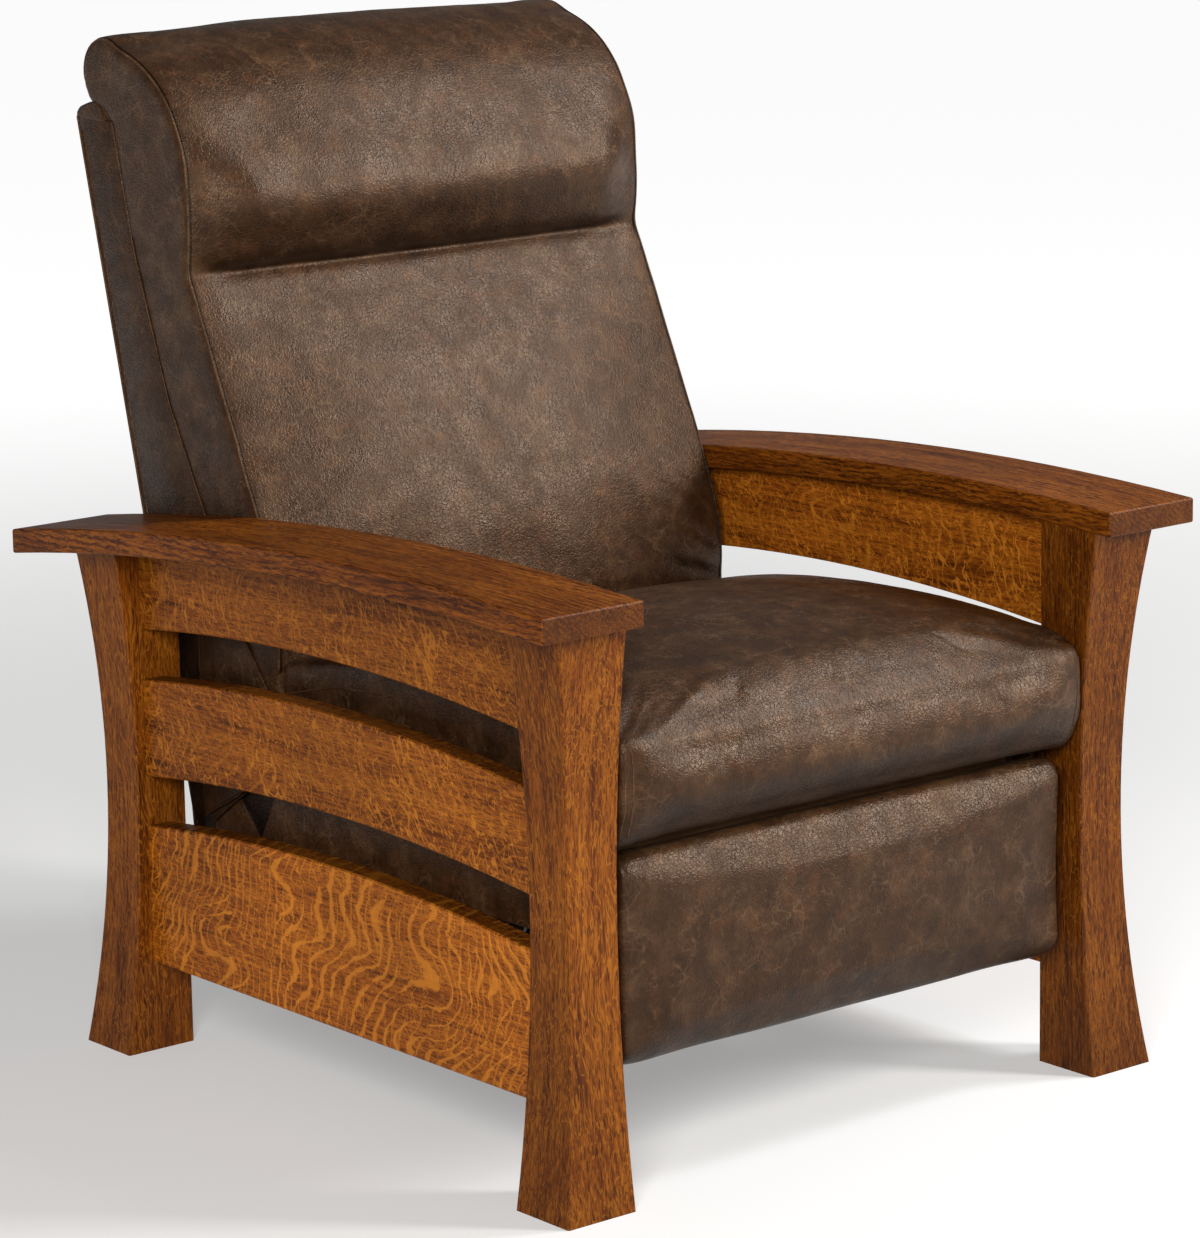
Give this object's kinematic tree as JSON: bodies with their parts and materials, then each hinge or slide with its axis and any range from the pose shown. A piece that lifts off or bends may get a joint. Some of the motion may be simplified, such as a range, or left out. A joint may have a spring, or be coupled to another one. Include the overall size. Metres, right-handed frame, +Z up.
{
  "type": "mission reclining armchair",
  "caption": "Mission style armchair with bowed wooden arms and slatted sides, a leather seat, a reclining back and a fold-out footrest.",
  "frame": {"origin": "on the floor, under the middle of the chair's bounding box", "axes": "+Z up, the chair faces -Y, +X to the sitter's left"},
  "size_m": [0.859, 0.935, 1.0815],
  "materials": {
    "oak": "satin stained quarter-sawn oak",
    "leather": "distressed dark brown leather",
    "frame_wood": "bare sawn hardwood",
    "steel": "black satin paint",
    "zinc": "zinc plated"
  },
  "bodies": {
    "base": {"leg_front_left": "oak", "leg_front_right": "oak", "leg_rear_left": "oak", "leg_rear_right": "oak", "arm_left": "oak", "arm_right": "oak", "bottom_rail_left": "oak", "bottom_rail_right": "oak", "middle_rail_left": "oak", "middle_rail_right": "oak", "top_rail_left": "oak", "top_rail_right": "oak", "arm_dowels": "frame_wood", "rear_stretcher": "oak", "mechanism_cleat_left": "frame_wood", "mechanism_cleat_right": "frame_wood", "base_plate_left": "steel", "base_plate_right": "steel", "base_tube": "steel", "base_bolts": "zinc"},
    "front_swing": {"front_swing_link_left": "steel", "front_swing_link_right": "steel", "swing_shaft": "steel"},
    "rear_swing": {"rear_swing_link_left": "steel", "rear_swing_link_right": "steel"},
    "seat": {"seat_side_plate_left": "steel", "seat_side_plate_right": "steel", "seat_side_rail_left": "frame_wood", "seat_side_rail_right": "frame_wood", "seat_front_rail": "frame_wood", "seat_rear_rail": "frame_wood", "seat_front_deck": "frame_wood", "seat_springs": "zinc", "seat_cushion": "leather", "frame_bolts": "zinc", "seat_side_panel_left": "leather", "seat_side_panel_right": "leather"},
    "back": {"back_post_left": "frame_wood", "back_post_right": "frame_wood", "back_top_rail": "frame_wood", "back_bottom_rail": "frame_wood", "back_springs": "zinc", "back_cushion": "leather", "head_roll": "leather", "back_panel": "leather", "back_hinge_plate_left": "steel", "back_hinge_plate_right": "steel", "back_side_panel_left": "leather", "back_side_panel_right": "leather"},
    "lift": {"lift_link_left": "steel", "lift_link_right": "steel", "torque_tube": "steel"},
    "reach": {"reach_link_left": "steel", "reach_link_right": "steel"},
    "control": {"control_link_left": "steel", "control_link_right": "steel"},
    "footrest": {"footrest_bracket_left": "steel", "footrest_bracket_right": "steel", "footrest_board": "frame_wood", "footrest_pad": "leather"}
  },
  "joints": [
    {"name": "back_recline", "type": "hinge", "parent": "seat", "child": "back", "pos_m": [0, 0.2289, 0.3], "axis": [-1, 0, 0], "range_deg": [0, 35]},
    {"name": "seat_swing", "type": "hinge", "parent": "base", "child": "front_swing", "pos_m": [0, -0.0931, 0.16], "axis": [1, 0, 0], "range_deg": [0, 30.01]},
    {"name": "rear_swing", "type": "hinge", "parent": "base", "child": "rear_swing", "pos_m": [0, 0.1169, 0.16], "axis": [1, 0, 0], "range_deg": [0, 30.01]},
    {"name": "seat_level", "type": "hinge", "parent": "front_swing", "child": "seat", "pos_m": [0, -0.06592, 0.26142], "axis": [-1, 0, 0], "range_deg": [0, 30.01]},
    {"name": "footrest_open", "type": "hinge", "parent": "seat", "child": "lift", "pos_m": [0, -0.2481, 0.254], "axis": [-1, 0, 0], "range_deg": [0, 115]},
    {"name": "reach_unfold", "type": "hinge", "parent": "lift", "child": "reach", "pos_m": [0, -0.17265, 0.12332], "axis": [1, 0, 0], "range_deg": [0, 135.01]},
    {"name": "control_swing", "type": "hinge", "parent": "seat", "child": "control", "pos_m": [0, -0.3021, 0.2823], "axis": [-1, 0, 0], "range_deg": [0, 114.51]},
    {"name": "footrest_tilt", "type": "hinge", "parent": "reach", "child": "footrest", "pos_m": [0, -0.35108, 0.28397], "axis": [-1, 0, 0], "range_deg": [0, 110.01]}
  ],
  "couplings": [
    {"joint": "seat_swing", "follows": "back_recline", "ratio": 0.85714},
    {"joint": "rear_swing", "follows": "back_recline", "ratio": 0.85714},
    {"joint": "seat_level", "follows": "back_recline", "ratio": 0.85714},
    {"joint": "reach_unfold", "follows": "footrest_open", "ratio": 1.1739},
    {"joint": "control_swing", "follows": "footrest_open", "ratio": 0.99565},
    {"joint": "footrest_tilt", "follows": "footrest_open", "ratio": 0.95652}
  ]
}
